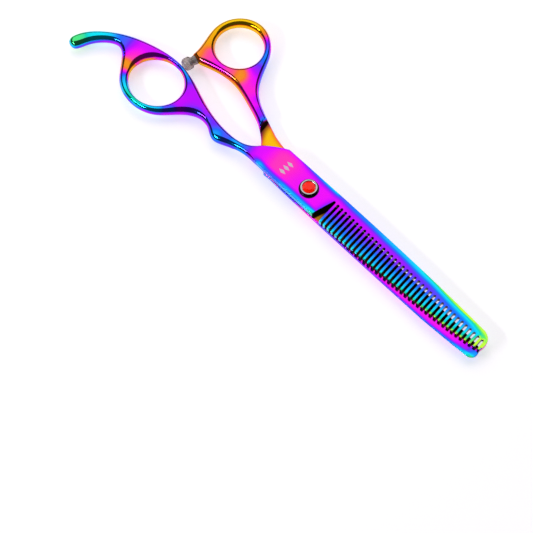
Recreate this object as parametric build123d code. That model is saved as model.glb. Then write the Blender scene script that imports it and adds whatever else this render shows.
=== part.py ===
"""Thinning shears with a jewelled pivot screw.

The shears are two forged halves that turn on one screw. The upper half carries the
comb blade and the finger ring with its little-finger rest. The lower half carries the
straight blade and the thumb ring with its bumper. Lengths are in millimetres.

Frame: +X runs from the pivot to the blade tips, +Y from the pivot line towards the thumb
ring, and +Z up. The origin lies on the pivot axis, in the back face of the tension nut,
which is the lowest plane of the shears.
"""
import os

from build123d import *

# ---- Driving heights -------------------------------------------------------------
NUT_PROUD = 1.2          # how far the nut stands out behind the lower half
HALF_THICK = 2.7         # thickness of one blade half at the pivot
BLADE_GAP = 0.2          # running gap between the two blades' inner faces

BACK = NUT_PROUD                        # back face of the handles and the lower blade
MID = BACK + HALF_THICK                 # plane in which the two halves meet
TOP = MID + HALF_THICK                  # top face of the handles and the comb plate
UPPER_FLOOR = MID + BLADE_GAP / 2       # inner face of the comb half
LOWER_CEILING = MID - BLADE_GAP / 2     # inner face of the straight half
CLEAR = 1.0                             # overshoot of every cutter

# ---- Driving lengths in the plan -------------------------------------------------
TIP_X = 90.6             # pivot to blade tip
PLATE_Y = 6.5            # half width of the plate around the pivot
SHANK_X = -26.0          # here the flat plate turns into the handle's shank
WELD_X = -36.0           # butt weld between blade and handle
TIP_THICK = 1.7          # thickness of each blade at its tip
TAPER_START_X = 10.0     # the blades get thinner from here to the tip
REACH = 130.0            # longer than either half, measured from the pivot

# ---- Comb ------------------------------------------------------------------------
SLOT_COUNT = 39
SLOT_PITCH = 2.05
FIRST_SLOT_X = 10.75     # root of the first slot, which is widened into a notch
SLOT_WIDTH = 1.0
SLOT_ROOT_Y = 3.4
LAST_SLOT_DROP = 0.3     # how much nearer to the tooth tips the last root lies
SLOT_LEAN = 5.5          # degrees that the teeth lean towards the blade tip
SLOT_LENGTH = 13.0
TOOTH_BEVEL_WIDTH = 2.2
TOOTH_BEVEL_DEPTH = 1.2
BLADE_EDGE_CUT = 0.5     # small bevel along the spines

# ---- Straight blade --------------------------------------------------------------
EDGE_BEVEL_WIDTH = 3.2
EDGE_BEVEL_DEPTH = 0.9
SPINE_BEVEL_WIDTH = 1.6   # long bevel on the back, along the spine
SPINE_BEVEL_DEPTH = 1.7

# ---- Handles ---------------------------------------------------------------------
RIM_ROUND = 0.9          # rounding of the handles' rims and of the ring holes
FINGER_HOLE = (-74.9, -9.5)
FINGER_HOLE_RADII = (11.1, 10.3)
FINGER_HOLE_TURN = 10.0
THUMB_HOLE = (-64.2, 24.5)
THUMB_HOLE_R = 9.6

# ---- Pivot -----------------------------------------------------------------------
RUNNING_FIT = 0.05
SHANK_R = 2.2
SHANK_FLAT = 1.8         # distance of its two flats from the pivot axis
THREAD_R = 1.75
THREAD_FLAT = 1.4
THREAD_END = 0.2         # the screw ends this far inside the nut
HEAD_R = 3.75
HEAD_LIP_R = 3.2
HEAD_HEIGHT = 1.2
HEAD_WASHER_R = 3.95
HEAD_WASHER_THICK = 0.2
JEWEL_R = 2.65
JEWEL_POCKET = 0.95
JEWEL_TABLE_R = 1.6
JEWEL_CROWN = 0.25       # how far the jewel's table stands over the bezel
FOIL_THICK = 0.12
BUSHING_R = 3.0
BLADE_WASHER_R = 5.0
BLADE_WASHER_RECESS = 0.25
COUNTERBORE_R = 5.3
COUNTERBORE_DEPTH = 1.0
KEYED_R = 4.9
KEYED_THICK = 0.4
SPRING_R = 4.6
SPRING_THICK = 0.22
NUT_R = 4.8
NUT_THICK = 1.3
NUT_SLOT_WIDTH = 1.1
NUT_SLOT_DEPTH = 0.6
NUT_SLOT_START = 2.9     # the notches run from here to the nut's rim
LOCK_RING_R = 2.5
LOCK_RING_LOW = 0.62
LOCK_RING_THICK = 0.45

# ---- Bumper ----------------------------------------------------------------------
BUMPER_SEAT = (-72.15, 8.65)     # centre of the flat that the bumper stands on
BUMPER_AIM = -102.0              # direction of its axis in the plan, in degrees
BUMPER_NECK_R = 2.0
BUMPER_HEAD_R = 2.6
BUMPER_LENGTH = 5.6
STUD_R = 0.9
STUD_IN_HANDLE = 3.2
STUD_IN_CAP = 3.0

BOTTOM_ALIGN = (Align.CENTER, Align.CENTER, Align.MIN)


# ---- Small tools -----------------------------------------------------------------
def prism(outline, low, high):
    """A straight prism over a closed outline, between two heights."""
    face = Pos(0, 0, low) * make_face(outline)
    return extrude(face, amount=high - low, dir=(0, 0, 1))


def disc(radius, low, high):
    """A round disc on the pivot axis."""
    return Pos(0, 0, low) * Cylinder(radius, high - low, align=BOTTOM_ALIGN)


def ring(outer, inner, low, high):
    """A flat ring on the pivot axis."""
    return disc(outer, low, high) - disc(inner, low - CLEAR, high + CLEAR)


def double_flat(radius, flat, low, high):
    """A round shank on the pivot axis with two flats."""
    slab = Box(2 * flat, 3 * radius, high - low, align=BOTTOM_ALIGN)
    return disc(radius, low, high) & (Pos(0, 0, low) * slab)


def turned(points):
    """A body turned about the pivot axis from a half section of (radius, height) points."""
    section = make_face(Polyline(*points, close=True))
    return revolve(Plane.XZ * section, Axis.Z)


def edges_at(solid, height, keep):
    """Edges that lie wholly in one level and whose centre passes the keep test."""
    level = solid.edges().filter_by_position(Axis.Z, height - 0.01, height + 0.01)
    return level.filter_by(lambda edge: keep(edge.center()))


def block(low_x, high_x):
    """A block that holds everything between two positions along the blades."""
    return Pos((low_x + high_x) / 2, 0, MID) * Box(high_x - low_x, REACH, 4 * HALF_THICK)


def mirrored(points, side):
    """Plan points as given for side 1, and mirrored in the pivot line for side -1."""
    return [(x, y * side) for x, y in points]


# ---- Shapes that the two halves share --------------------------------------------
def shoulder_cutter(side, low, high):
    """Space behind the plate that one half leaves free for the other one.

    side is 1 for the thumb handle's shoulder and -1 for the finger handle's.
    """
    curve = [(-28.2, -2.4), (-28.9, 0.6), (-30.0, 3.6), (-31.3, 7.0), (-31.6, 12.0)]
    around = [(-31.6, 12.0), (0.0, 12.0), (0.0, -12.0), (-18.0, -12.0), (-28.2, -2.4)]
    outline = [Spline(*mirrored(curve, side)), Polyline(*mirrored(around, side))]
    return prism(outline, low, high)


def taper_cutter(face_z, tip_z, beyond_z):
    """Wedge that thins a blade from face_z at its root to tip_z at its tip."""
    end_x = TIP_X + CLEAR
    wedge = Polyline(
        (TAPER_START_X, face_z), (end_x, tip_z), (end_x, beyond_z), (TAPER_START_X, beyond_z), close=True)
    return extrude(Plane.XZ * make_face(wedge), amount=2 * PLATE_Y, both=True)


def bevel_cutter(start, end, face_z, depth, width):
    """Wedge that bevels a blade's edge from start to end in the plan.

    The bevel starts width inside the edge, to the left of start to end, and reaches depth
    below face_z at the edge. A negative depth bevels a face that looks down.
    """
    line = Line(start, end)
    along = line % 0
    origin = (start[0], start[1], face_z)
    section = Plane(origin=origin, x_dir=(-along.Y, along.X, 0), z_dir=(along.X, along.Y, 0))
    side = 1 if depth > 0 else -1
    wedge = Polyline((width, 0), (-width, -2 * depth), (-width, side * CLEAR), (width, side * CLEAR), close=True)
    return extrude(section * make_face(wedge), amount=line.length)


def finished_shank(outline, hole_cutter):
    """A handle from its plan outline, with its ring hole and rounded rims."""
    blank = prism(outline, BACK, TOP) - hole_cutter
    rims = edges_at(blank, TOP, lambda at: at.X < SHANK_X - 0.1)
    rims += edges_at(blank, BACK, lambda at: at.X < SHANK_X - 0.1)
    return fillet(rims, RIM_ROUND)


# ---- Comb half -------------------------------------------------------------------
def finger_handle_blank():
    """Shank, finger ring and little-finger rest."""
    gap_side = [(SHANK_X, 0.6), (-30.1, -2.8), (-40.5, -4.6), (-56.7, -1.55), (-66.4, 1.6), (-75.5, 2.85)]
    rest = [(-86.2, 1.3), (-98.4, -3.5), (-107.1, -9.9), (-112.1, -17.1), (-112.3, -21.4), (-109.1, -22.4),
            (-106.4, -18.0), (-102.9, -12.2), (-97.2, -8.9), (-91.2, -13.0)]
    ring_side = [(-84.0, -20.3), (-75.2, -22.7), (-65.7, -19.9), (-59.3, -13.4), (-52.2, -8.3)]
    notch = [(-46.6, -8.8), (-43.4, -10.5), (-41.4, -10.95), (-39.4, -10.5), (-35.9, -8.9), (-31.0, -7.2),
             (SHANK_X, -PLATE_Y)]
    outline = [
        Spline(*gap_side, *rest, *ring_side, *notch),
        Line((SHANK_X, -PLATE_Y), (SHANK_X, 0.6))]
    oval = extrude(Ellipse(*FINGER_HOLE_RADII), amount=2 * TOP)
    oval = Pos(*FINGER_HOLE, BACK - CLEAR) * Rot(0, 0, FINGER_HOLE_TURN) * oval
    blank = finished_shank(outline, oval)
    return blank - shoulder_cutter(-1, BACK - CLEAR, UPPER_FLOOR)


def comb_plate():
    """Flat comb blade with its bevels, before the slots are cut."""
    corner = (-17.2, PLATE_Y)
    heel = (8.0, -PLATE_Y)
    outline = [
        Line((SHANK_X, 0.6), corner),
        Spline(corner, (20.0, 7.0), (60.0, 7.0), (86.6, 6.25)),
        Spline((86.6, 6.25), (89.4, 4.9), (TIP_X, -0.8)),
        Spline((TIP_X, -0.8), (86.0, -1.6), (50.0, -4.7), (26.0, -6.2), (10.0, -6.6)),
        Line((10.0, -6.6), heel),
        Line(heel, (SHANK_X, -PLATE_Y)),
        Line((SHANK_X, -PLATE_Y), (SHANK_X, 0.6))]
    plate = prism(outline, UPPER_FLOOR, TOP)
    spine = edges_at(plate, TOP, lambda at: at.Y > 5.5)
    plate = chamfer(spine, BLADE_EDGE_CUT)
    plate -= taper_cutter(TOP, MID + TIP_THICK, TOP + CLEAR)
    tooth_line = [(-20.0, -PLATE_Y), (10.0, -6.6), (32.0, -5.9), (60.0, -3.9), (TIP_X, -1.2)]
    tops = [TOP, TOP, TOP - 0.2, TOP - 0.6, TOP - 1.0]
    for index in range(len(tooth_line) - 1):
        plate -= bevel_cutter(
            tooth_line[index], tooth_line[index + 1], tops[index + 1], TOOTH_BEVEL_DEPTH, TOOTH_BEVEL_WIDTH)
    return plate


def comb_slots():
    """All slots of the comb, with round roots, and the notch at the first one."""
    slots = []
    height = HALF_THICK + 2 * CLEAR
    slot = SlotCenterToCenter(SLOT_LENGTH - SLOT_WIDTH, SLOT_WIDTH, rotation=90)
    cutter = extrude(Pos(0, -SLOT_LENGTH / 2) * slot, amount=height)
    for index in range(SLOT_COUNT):
        root_x = FIRST_SLOT_X + SLOT_PITCH * index
        root_y = SLOT_ROOT_Y - LAST_SLOT_DROP * index / (SLOT_COUNT - 1)
        slots.append(Pos(root_x, root_y, MID - CLEAR) * Rot(0, 0, SLOT_LEAN) * cutter)
    notch = Polyline(
        (FIRST_SLOT_X - 0.5, 2.6), (8.4, -6.0), (8.4, -9.0), (FIRST_SLOT_X + 1.5, -9.0),
        (FIRST_SLOT_X + 0.5, 2.6), close=True)
    slots.append(prism([notch], MID - CLEAR, MID - CLEAR + height))
    return slots


def make_comb_half():
    """Comb blade and finger handle as two solids that meet in the weld plane."""
    half = finger_handle_blank() + comb_plate()
    half -= double_flat(SHANK_R + RUNNING_FIT, SHANK_FLAT + RUNNING_FIT, MID - CLEAR, TOP + CLEAR)
    blade = half & block(WELD_X, REACH)
    handle = half & block(-REACH, WELD_X)
    blade -= comb_slots()
    return blade, handle


# ---- Straight half ---------------------------------------------------------------
def bumper_frame():
    """Placement whose +Z runs from the bumper's seat along its axis."""
    return Pos(*BUMPER_SEAT, MID) * Rot(0, 0, BUMPER_AIM) * Rot(0, 90, 0)


def thumb_handle_blank():
    """Shank, thumb ring and the boss that the bumper is screwed to."""
    seat_left = (-74.35, 9.12)
    seat_right = (-69.95, 8.18)
    outer = Spline(
        (SHANK_X, 7.6), (-35.8, 11.2), (-44.0, 15.8), (-49.7, 23.8), (-55.3, 33.1), (-65.1, 37.75),
        (-74.3, 33.2), (-77.4, 24.6), (-75.4, 15.4), seat_left)
    gap_side = Spline(
        seat_right, (-65.0, 9.95), (-55.1, 11.75), (-44.3, 9.65), (-30.0, 3.5), (SHANK_X, -0.4))
    outline = [outer, Line(seat_left, seat_right), gap_side, Line((SHANK_X, -0.4), (SHANK_X, 7.6))]
    hole = Pos(*THUMB_HOLE, 0) * Cylinder(THUMB_HOLE_R, 2 * TOP, align=BOTTOM_ALIGN)
    blank = finished_shank(outline, hole)
    blank -= shoulder_cutter(1, LOWER_CEILING, TOP + CLEAR)
    return blank


def straight_plate():
    """Flat straight blade with its bevels."""
    corner = (-17.0, 6.3)
    heel = (-18.0, -PLATE_Y)
    edge_start = (12.0, 3.3)
    nose = (88.0, 0.8)
    outline = [
        Spline((SHANK_X, 7.6), (-21.0, 6.6), corner),
        Line(corner, (4.0, 6.3)),
        Spline((4.0, 6.3), (8.5, 4.5), edge_start),
        Spline(edge_start, (50.0, 2.6), nose),
        Spline(nose, (89.6, 0.2), (TIP_X, -1.2)),
        Spline((TIP_X, -1.2), (90.3, -4.2), (88.8, -5.2)),
        Spline((88.8, -5.2), (70.0, -6.4), (40.0, -7.2), (12.0, -7.1), heel),
        Line(heel, (SHANK_X, -0.4)),
        Line((SHANK_X, -0.4), (SHANK_X, 7.6))]
    plate = prism(outline, BACK, LOWER_CEILING)
    plate -= taper_cutter(BACK, MID - TIP_THICK, BACK - CLEAR)
    plate -= bevel_cutter(nose, edge_start, BACK + 0.5, -EDGE_BEVEL_DEPTH, EDGE_BEVEL_WIDTH)
    plate -= bevel_cutter(heel, (TIP_X, -6.2), BACK + 0.3, -SPINE_BEVEL_DEPTH, SPINE_BEVEL_WIDTH)
    return plate


def make_straight_half():
    """Straight blade and thumb handle as two solids that meet in the weld plane."""
    half = thumb_handle_blank() + straight_plate()
    half -= disc(BUSHING_R, BACK - CLEAR, MID)
    half -= disc(COUNTERBORE_R, BACK - CLEAR, BACK + COUNTERBORE_DEPTH)
    half -= disc(BLADE_WASHER_R + RUNNING_FIT, LOWER_CEILING - BLADE_WASHER_RECESS, MID)
    half -= bumper_frame() * Cylinder(
        STUD_R, 2 * STUD_IN_HANDLE, align=(Align.CENTER, Align.CENTER, Align.CENTER))
    blade = half & block(WELD_X, REACH)
    handle = half & block(-REACH, WELD_X)
    return blade, handle


# ---- Pivot hardware --------------------------------------------------------------
HEAD_SEAT = TOP + HEAD_WASHER_THICK
HEAD_TOP = HEAD_SEAT + HEAD_HEIGHT
POCKET_FLOOR = HEAD_TOP - JEWEL_POCKET
COUNTERBORE_FLOOR = BACK + COUNTERBORE_DEPTH


def make_pivot_screw():
    """Bezel head, keyed shank, round journal and threaded end in one piece."""
    head = turned([
        (0, HEAD_SEAT), (HEAD_R, HEAD_SEAT), (HEAD_R, HEAD_SEAT + 0.35), (HEAD_LIP_R, HEAD_TOP),
        (JEWEL_R + 0.15, HEAD_TOP), (JEWEL_R, HEAD_TOP - 0.15), (JEWEL_R, POCKET_FLOOR), (0, POCKET_FLOOR)])
    keyed = double_flat(SHANK_R, SHANK_FLAT, UPPER_FLOOR, HEAD_SEAT)
    journal = disc(SHANK_R, COUNTERBORE_FLOOR, UPPER_FLOOR)
    thread = double_flat(THREAD_R, THREAD_FLAT, THREAD_END, COUNTERBORE_FLOOR)
    return head + keyed + journal + thread


def make_jewel():
    """Flat-backed stone with a bevelled crown."""
    foot = POCKET_FLOOR + FOIL_THICK
    crown = HEAD_TOP + JEWEL_CROWN
    return turned([
        (0, foot), (JEWEL_R, foot), (JEWEL_R, HEAD_TOP - 0.2), (JEWEL_TABLE_R, crown), (0, crown)])


def make_jewel_foil():
    """Mirror foil under the stone."""
    return disc(JEWEL_R, POCKET_FLOOR, POCKET_FLOOR + FOIL_THICK)


def make_head_washer():
    """Thin washer between the screw's head and the comb plate."""
    return ring(HEAD_WASHER_R, SHANK_R + RUNNING_FIT, TOP, HEAD_SEAT)


def make_blade_washer():
    """Slide washer between the two blades."""
    low = LOWER_CEILING - BLADE_WASHER_RECESS
    return ring(BLADE_WASHER_R, SHANK_R + RUNNING_FIT, low, UPPER_FLOOR - 0.02)


def make_bushing():
    """Bearing bush pressed into the straight blade."""
    return ring(BUSHING_R, SHANK_R + RUNNING_FIT, COUNTERBORE_FLOOR, LOWER_CEILING - BLADE_WASHER_RECESS)


def make_keyed_washer():
    """Washer with a flatted hole, so that the nut isn't turned by the moving blade."""
    low = COUNTERBORE_FLOOR - RUNNING_FIT - KEYED_THICK
    hole = double_flat(THREAD_R + RUNNING_FIT, THREAD_FLAT + RUNNING_FIT, low - CLEAR, COUNTERBORE_FLOOR)
    return disc(KEYED_R, low, low + KEYED_THICK) - hole


def make_spring_washer():
    """Coned spring washer that keeps the blades pressed together."""
    high = COUNTERBORE_FLOOR - RUNNING_FIT - KEYED_THICK
    inner = THREAD_R + RUNNING_FIT
    outer_high = NUT_THICK + SPRING_THICK
    return turned([
        (inner, high - SPRING_THICK), (SPRING_R, NUT_THICK), (SPRING_R, outer_high), (inner, high)])


def make_tension_nut():
    """Flat round nut with two spanner notches in its back."""
    nut = turned([
        (0, 0), (NUT_R - 0.4, 0), (NUT_R, 0.4), (NUT_R, NUT_THICK - 0.1),
        (NUT_R - 0.1, NUT_THICK), (0, NUT_THICK)])
    nut -= disc(THREAD_R + RUNNING_FIT, -CLEAR, NUT_THICK + CLEAR)
    nut -= disc(LOCK_RING_R, LOCK_RING_LOW, LOCK_RING_LOW + LOCK_RING_THICK)
    notch = Box(NUT_SLOT_WIDTH, NUT_R, NUT_SLOT_DEPTH, align=(Align.CENTER, Align.MIN, Align.MIN))
    for side in (0, 180):
        nut -= Rot(0, 0, side) * Pos(0, NUT_SLOT_START, 0) * notch
    return nut


def make_lock_ring():
    """Nylon ring in the nut that grips the thread."""
    return ring(LOCK_RING_R, THREAD_R + RUNNING_FIT, LOCK_RING_LOW, LOCK_RING_LOW + LOCK_RING_THICK)


# ---- Bumper ----------------------------------------------------------------------
def make_bumper_cap():
    """Soft cap that the thumb ring closes on: a neck and a round head."""
    flare = 1.9
    crown = BUMPER_LENGTH - 1.6
    neck = Cylinder(BUMPER_NECK_R, flare, align=BOTTOM_ALIGN)
    head = Pos(0, 0, flare) * Cylinder(BUMPER_HEAD_R, BUMPER_LENGTH - flare, align=BOTTOM_ALIGN)
    head = fillet(head.edges().sort_by(Axis.Z)[-1], BUMPER_LENGTH - crown)
    head = chamfer(head.edges().sort_by(Axis.Z)[0], 0.4)
    cap = neck + head - Cylinder(STUD_R, STUD_IN_CAP, align=BOTTOM_ALIGN)
    return bumper_frame() * cap


def make_bumper_stud():
    """Headless stud that holds the cap to the handle."""
    stud = Pos(0, 0, -STUD_IN_HANDLE) * Cylinder(STUD_R, STUD_IN_HANDLE + STUD_IN_CAP, align=BOTTOM_ALIGN)
    return bumper_frame() * stud


def build_parts():
    """Every piece of the shears by its node name."""
    comb_blade, finger_handle = make_comb_half()
    straight_blade, thumb_handle = make_straight_half()
    return {
        "comb_blade": comb_blade,
        "finger_handle": finger_handle,
        "straight_blade": straight_blade,
        "thumb_handle": thumb_handle,
        "pivot_screw": make_pivot_screw(),
        "jewel": make_jewel(),
        "jewel_foil": make_jewel_foil(),
        "head_washer": make_head_washer(),
        "blade_washer": make_blade_washer(),
        "pivot_bushing": make_bushing(),
        "keyed_washer": make_keyed_washer(),
        "spring_washer": make_spring_washer(),
        "tension_nut": make_tension_nut(),
        "nut_lock_ring": make_lock_ring(),
        "bumper_cap": make_bumper_cap(),
        "bumper_stud": make_bumper_stud(),
    }


os.makedirs("parts", exist_ok=True)
for node, shape in build_parts().items():
    export_step(shape, f"parts/{node}.step")
    print(node, round(shape.volume, 1), "valid" if shape.is_valid else "INVALID")
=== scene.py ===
"""Visual model of the thinning shears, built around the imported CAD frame.

The two halves are sculpted as pairs of height surfaces over the outlines of their CAD nodes,
so that every rim is round, and the rest is turned or faceted in mesh code. Lengths are in
millimetres until a mesh is made; Blender's objects are in metres.
"""
import math

import bmesh
import bpy
import numpy as np
from mathutils import Matrix, Vector
from mathutils.geometry import delaunay_2d_cdt


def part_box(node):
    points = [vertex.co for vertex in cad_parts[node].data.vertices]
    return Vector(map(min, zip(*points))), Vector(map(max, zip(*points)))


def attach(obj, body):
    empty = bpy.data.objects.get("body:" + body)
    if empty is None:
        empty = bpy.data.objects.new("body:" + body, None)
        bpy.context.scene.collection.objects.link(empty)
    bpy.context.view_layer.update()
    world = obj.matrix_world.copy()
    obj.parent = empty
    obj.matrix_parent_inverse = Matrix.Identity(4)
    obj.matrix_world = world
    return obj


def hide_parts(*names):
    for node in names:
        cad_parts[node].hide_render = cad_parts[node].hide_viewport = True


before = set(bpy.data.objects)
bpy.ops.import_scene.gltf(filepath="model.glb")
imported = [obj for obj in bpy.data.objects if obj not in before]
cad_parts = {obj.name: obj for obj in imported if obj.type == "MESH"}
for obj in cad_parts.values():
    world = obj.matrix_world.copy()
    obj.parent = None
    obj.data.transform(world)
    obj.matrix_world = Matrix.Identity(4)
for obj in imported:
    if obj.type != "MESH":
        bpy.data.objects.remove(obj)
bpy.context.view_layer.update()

MM = 0.001

# ---- Heights of the two halves, as the CAD has them --------------------------------
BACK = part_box("thumb_handle")[0].z / MM
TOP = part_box("finger_handle")[1].z / MM
MID = (BACK + TOP) / 2
UPPER_FLOOR = MID + 0.1
LOWER_CEILING = MID - 0.1
TIP_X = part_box("comb_blade")[1].x / MM
WELD_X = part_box("finger_handle")[1].x / MM
TIP_THICK = 1.7          # thickness of each blade at its tip
TAPER_START_X = 10.0     # the blades get thinner from here to the tip
WELD_REACH = 2e-3        # how near to the weld plane a point counts as being on it

# Levels at which the outlines of the four nodes are taken
FINGER_CUT = 3.95
COMB_CUT = 4.2
THUMB_CUT = 2.5
STRAIGHT_CUT = 3.52

# ---- Rounding ----------------------------------------------------------------------
HANDLE_ROUND = 2.6       # plan width of the rounding along the handles' rims
PLATE_ROUND = 0.3        # the same along the plates' rims
SLOT_ROUND = 0.12        # the same along the comb's slots
PROFILE_POWER = 2.05     # how full a rim's rounding is
HALF_HEIGHT = TOP - MID

# ---- Mesh spacing ------------------------------------------------------------------
HANDLE_STEP = 0.36
BLADE_STEP = 0.4
INNER_STEP = 0.75
RIM_FRACTIONS = (0.015, 0.06, 0.14, 0.26, 0.41, 0.58, 0.78, 1.0)
CHUNK = 2_000_000        # how many point and segment pairs are worked on at once


# ---- Small helpers -----------------------------------------------------------------
def new_object(name, data):
    item = bpy.data.objects.new(name, data)
    bpy.context.scene.collection.objects.link(item)
    return item


# ---- Small maths -------------------------------------------------------------------
def smoothstep(low, high, x):
    t = np.clip((x - low) / (high - low), 0.0, 1.0)
    return t * t * (3.0 - 2.0 * t)


def mix(a, b, t):
    return a + (b - a) * t


def rim_profile(t):
    """0 at the rim and 1 from t = 1 on, with an upright start and a soft end."""
    return np.maximum(0.0, 1.0 - np.clip(1.0 - t, 0.0, 1.0) ** PROFILE_POWER) ** (1.0 / PROFILE_POWER)


def on_weld(points):
    return np.abs(points[:, 0] - WELD_X) < WELD_REACH


# ---- Outlines from the frame -------------------------------------------------------
def section_loops(node, height):
    """Closed outlines where a level plane cuts a CAD node, the outer one anticlockwise."""
    bm = bmesh.new()
    bm.from_mesh(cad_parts[node].data)
    bmesh.ops.remove_doubles(bm, verts=bm.verts, dist=1e-6)
    geometry = bm.verts[:] + bm.edges[:] + bm.faces[:]
    cut = bmesh.ops.bisect_plane(
        bm, geom=geometry, plane_co=(0, 0, height * MM), plane_no=(0, 0, 1),
        clear_inner=True, clear_outer=True)
    links = {}
    for edge in cut["geom_cut"]:
        if isinstance(edge, bmesh.types.BMEdge):
            first, second = edge.verts
            links.setdefault(first, []).append(second)
            links.setdefault(second, []).append(first)
    loops = []
    unused = set(links)
    for start in list(links):
        if start not in unused:
            continue
        loop = [start]
        unused.discard(start)
        here = start
        while True:
            onward = [vert for vert in links[here] if vert in unused]
            if not onward:
                break
            here = onward[0]
            unused.discard(here)
            loop.append(here)
        points = np.array([(vert.co.x, vert.co.y) for vert in loop]) / MM
        if len(points) > 2 and abs(area_of(points)) > 0.01:
            loops.append(points)
    bm.free()
    loops.sort(key=lambda points: -abs(area_of(points)))
    return [
        points if (area_of(points) > 0) == (index == 0) else points[::-1]
        for index, points in enumerate(loops)]


def area_of(points):
    x, y = points[:, 0], points[:, 1]
    return 0.5 * float(np.sum(x * np.roll(y, -1) - np.roll(x, -1) * y))


def tidy_loop(points, step, corner_degrees, smooth):
    """A loop with even spacing between its corners, smoothed there, and which points are corners."""
    gaps = np.linalg.norm(points - np.roll(points, 1, axis=0), axis=1)
    points = points[gaps > 0.004]
    before = points - np.roll(points, 1, axis=0)
    after = np.roll(points, -1, axis=0) - points
    turn = np.degrees(np.abs(np.arctan2(
        before[:, 0] * after[:, 1] - before[:, 1] * after[:, 0], np.sum(before * after, axis=1))))
    corners = np.nonzero(turn > corner_degrees)[0]
    closed = len(corners) == 0
    if closed:
        corners = np.array([0])
    result = []
    flags = []
    for index, first in enumerate(corners):
        last = corners[(index + 1) % len(corners)]
        count = (last - first) % len(points)
        if count == 0:
            count = len(points)
        stretch = points[(first + np.arange(count + 1)) % len(points)]
        length = np.concatenate([[0.0], np.cumsum(np.linalg.norm(np.diff(stretch, axis=0), axis=1))])
        pieces = max(1, int(round(length[-1] / step)))
        even = np.linspace(0.0, length[-1], pieces + 1)
        line = np.stack([np.interp(even, length, stretch[:, axis]) for axis in (0, 1)], axis=1)
        if smooth and pieces > 3:
            for _ in range(smooth):
                inner = 0.25 * line[:-2] + 0.5 * line[1:-1] + 0.25 * line[2:]
                if closed:
                    seam = 0.25 * line[-2] + 0.5 * line[0] + 0.25 * line[1]
                    line = np.concatenate([[seam], inner, [seam]])
                else:
                    line[1:-1] = inner
        result.append(line[:-1])
        flags.extend([not closed] + [False] * (len(line) - 2))
    return np.concatenate(result), np.array(flags)


class Region:
    """A plan region between its outlines, with a smooth distance from its real rims."""

    def __init__(self, loops, step, corner_degrees=40.0, smooth=0):
        self.loops = []
        self.corners = []
        for points in loops:
            line, flags = tidy_loop(points, step, corner_degrees, smooth)
            self.loops.append(line)
            self.corners.append(flags)

    def rims(self):
        """Start and end points of every rim segment, without the weld."""
        starts, ends = [], []
        for line in self.loops:
            following = np.roll(line, -1, axis=0)
            real = ~(on_weld(line) & on_weld(following))
            starts.append(line[real])
            ends.append(following[real])
        return np.concatenate(starts), np.concatenate(ends)

    def contains(self, points):
        """Which points lie inside, by counting the edges to the right of each one."""
        inside = np.zeros(len(points), bool)
        for line in self.loops:
            following = np.roll(line, -1, axis=0)
            sloped = np.abs(following[:, 1] - line[:, 1]) > 1e-9
            x0, y0 = line[sloped].T
            x1, y1 = following[sloped].T
            low, high = np.minimum(y0, y1), np.maximum(y0, y1)
            grade = (x1 - x0) / (y1 - y0)
            rows = max(1, CHUNK // len(x0))
            for start in range(0, len(points), rows):
                x = points[start:start + rows, :1]
                y = points[start:start + rows, 1:]
                crossed = (y > low) & (y <= high) & (x < x0 + (y - y0) * grade)
                inside[start:start + rows] ^= crossed.sum(axis=1) % 2 == 1
        return inside


class Distance:
    """Distance from a set of rim segments: exact, or smooth across the middle of a bar."""

    def __init__(self, starts, ends):
        span = ends - starts
        length = np.linalg.norm(span, axis=1)
        self.starts = starts
        self.length = length
        self.along = span / length[:, None]

    def local(self, points):
        """Each point's place along and across each segment."""
        dx = points[:, :1] - self.starts[:, 0]
        dy = points[:, 1:] - self.starts[:, 1]
        tx, ty = self.along.T
        return dx * tx + dy * ty, dx * ty - dy * tx

    def chunks(self, points, work):
        rows = max(1, CHUNK // len(self.starts))
        return np.concatenate([work(points[low:low + rows]) for low in range(0, len(points), rows)])

    def exact(self, points):
        def work(rows):
            along, across = self.local(rows)
            beyond = np.maximum(0.0, np.maximum(-along, along - self.length))
            return np.sqrt(np.min(across ** 2 + beyond ** 2, axis=1))
        return self.chunks(points, work)

    def smooth(self, points):
        """The smooth distance and its slope in x and y, one row per point."""
        def work(rows):
            along, across = self.local(rows)
            across = np.where(np.abs(across) < 1e-3, 1e-3, across)
            rest = along - self.length
            near = 1.0 / np.sqrt(across ** 2 + along ** 2)
            far = 1.0 / np.sqrt(across ** 2 + rest ** 2)
            pull = (along * near - rest * far) / across ** 2
            near3, far3 = near ** 3, far ** 3
            by_along = near3 - far3
            by_across = (rest * far3 - along * near3 - 2.0 * pull) / across
            tx, ty = self.along.T
            total = np.maximum(pull.sum(axis=1), 1e-9)
            depth = np.sqrt(2.0 / total)
            slope = -0.25 * depth ** 3
            slope_x = slope * (by_along * tx + by_across * ty).sum(axis=1)
            slope_y = slope * (by_along * ty - by_across * tx).sum(axis=1)
            return np.stack([depth, slope_x, slope_y], axis=1)
        return self.chunks(points, work)


# ---- Sculpted slabs ----------------------------------------------------------------
def loop_normals(line, corners):
    """Outward directions at each point of a loop: their mean, and those of its two sides."""
    edge = np.roll(line, -1, axis=0) - line
    edge /= np.maximum(np.linalg.norm(edge, axis=1), 1e-9)[:, None]
    outward = np.stack([edge[:, 1], -edge[:, 0]], axis=1)
    earlier = np.roll(outward, 1, axis=0)
    mean = outward + earlier
    mean /= np.maximum(np.linalg.norm(mean, axis=1), 1e-9)[:, None]
    weld = on_weld(line)
    weld_after = weld & np.roll(weld, -1)
    weld_before = weld & np.roll(weld, 1)
    mean = np.where((weld_after & ~weld_before)[:, None], earlier, mean)
    mean = np.where((weld_before & ~weld_after)[:, None], outward, mean)
    arriving = np.where(corners[:, None], earlier, mean)
    leaving = np.where(corners[:, None], outward, mean)
    return mean, arriving, leaving


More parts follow.
